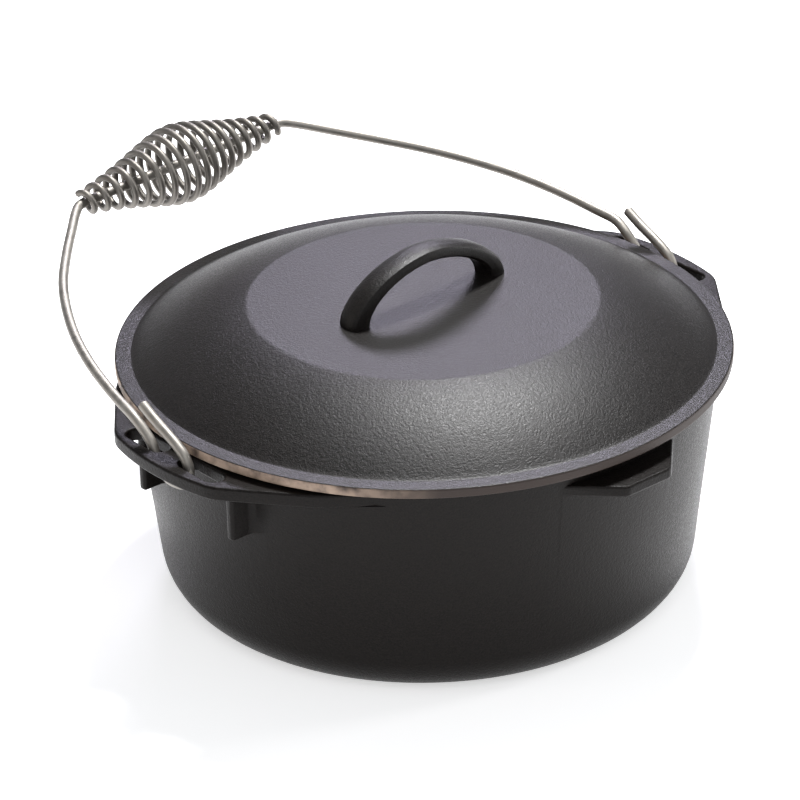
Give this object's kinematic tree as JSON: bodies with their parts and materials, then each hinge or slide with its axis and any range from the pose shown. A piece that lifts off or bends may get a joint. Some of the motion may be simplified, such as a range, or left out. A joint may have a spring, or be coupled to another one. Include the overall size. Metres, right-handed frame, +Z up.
{
  "type": "dutch oven",
  "caption": "Seasoned cast iron dutch oven with slotted ears, a domed loop-handled lid, and a swinging wire bail that carries a freely turning coiled wire grip.",
  "frame": {"origin": "centre of the pot's flat bottom face", "axes": "+Z up out of the pot; X along the line through both ears, which is the bail's pivot axis; the bail rests leaning towards +Y and the tilting tab is at -Y"},
  "size_m": [0.3588, 0.3976, 0.1908],
  "materials": {
    "pot_iron": "sand-cast, oil-seasoned, satin",
    "lid_iron": "sand-cast, oil-seasoned, satin",
    "bail_steel": "bright plated drawn wire",
    "grip_steel": "bright plated spring wire"
  },
  "bodies": {
    "pot": {"pot": "pot_iron"},
    "lid": {"lid": "lid_iron"},
    "bail": {"bail": "bail_steel"},
    "grip": {"grip_coil": "grip_steel"}
  },
  "joints": [
    {"name": "lid_lift", "type": "slide", "parent": "pot", "child": "lid", "axis": [0, 0, 1], "range_m": [0, 0.18]},
    {"name": "bail_swing", "type": "hinge", "parent": "pot", "child": "bail", "pos_m": [0, 0, 0.12285], "axis": [1, 0, 0], "range_deg": [0, 142]},
    {"name": "grip_spin", "type": "hinge", "parent": "bail", "child": "grip", "pos_m": [0, 0.20349, 0.16855], "axis": [0.9992, 0, 0.041], "continuous": true}
  ]
}
